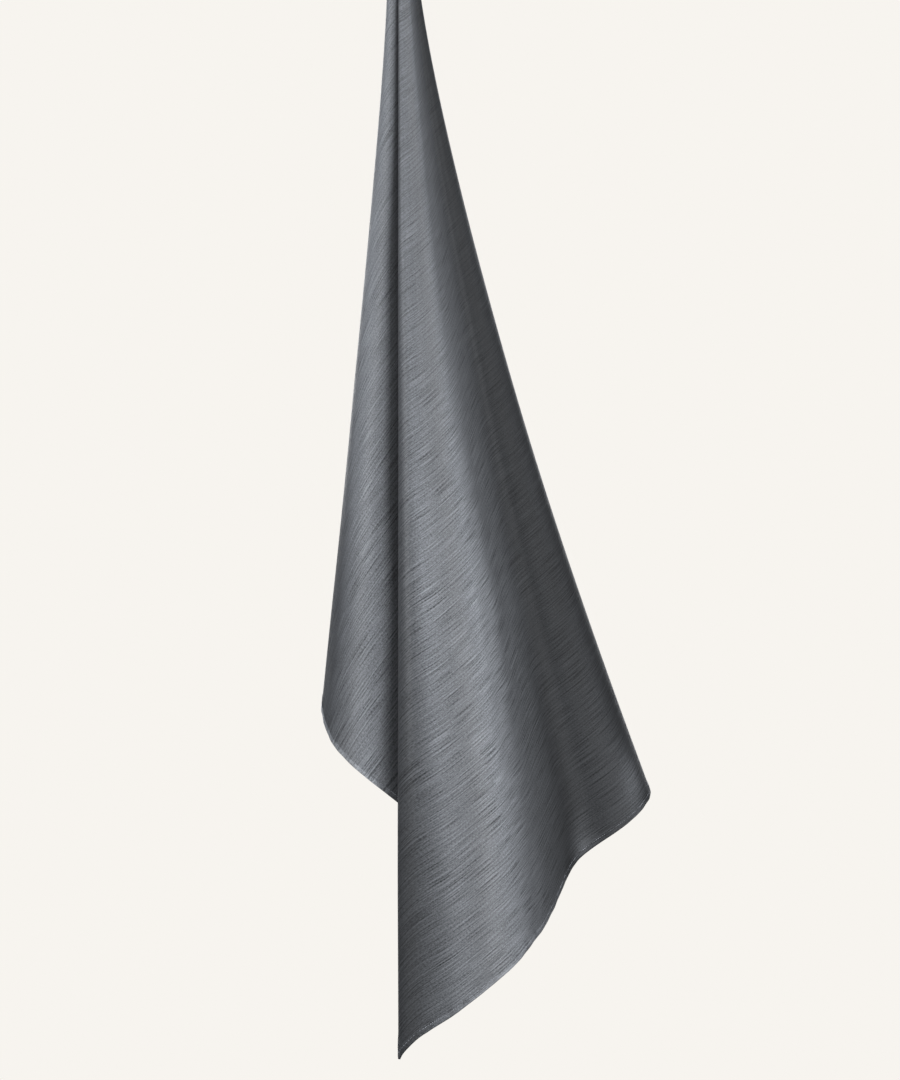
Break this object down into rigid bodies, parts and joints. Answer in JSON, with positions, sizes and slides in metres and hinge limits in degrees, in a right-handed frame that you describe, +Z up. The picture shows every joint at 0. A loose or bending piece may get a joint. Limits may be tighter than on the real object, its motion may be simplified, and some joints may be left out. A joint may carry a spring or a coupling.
{
  "type": "satin hijab",
  "caption": "Plain satin head scarf hanging in long soft folds from one held point, with narrow hems and a pointed lower corner.",
  "frame": {"origin": "the held point, where the cloth is drawn together at the middle of one long edge", "axes": "+Z up, -Y towards the front of the hanging cloth, +X to the viewer's right"},
  "size_m": [0.3272, 0.3233, 1.1491],
  "materials": {
    "satin": "soft satin weave with fine slubs, cool grey"
  },
  "bodies": {
    "root": {"front_panel": "satin", "right_return": "satin", "tucked_pleat": "satin", "left_fold": "satin", "back_panel": "satin", "back_flute": "satin", "under_front_panel": "satin", "under_right_return": "satin", "under_tucked_pleat": "satin", "under_left_fold": "satin", "under_back_panel": "satin", "held_gather": "satin"}
  },
  "joints": []
}
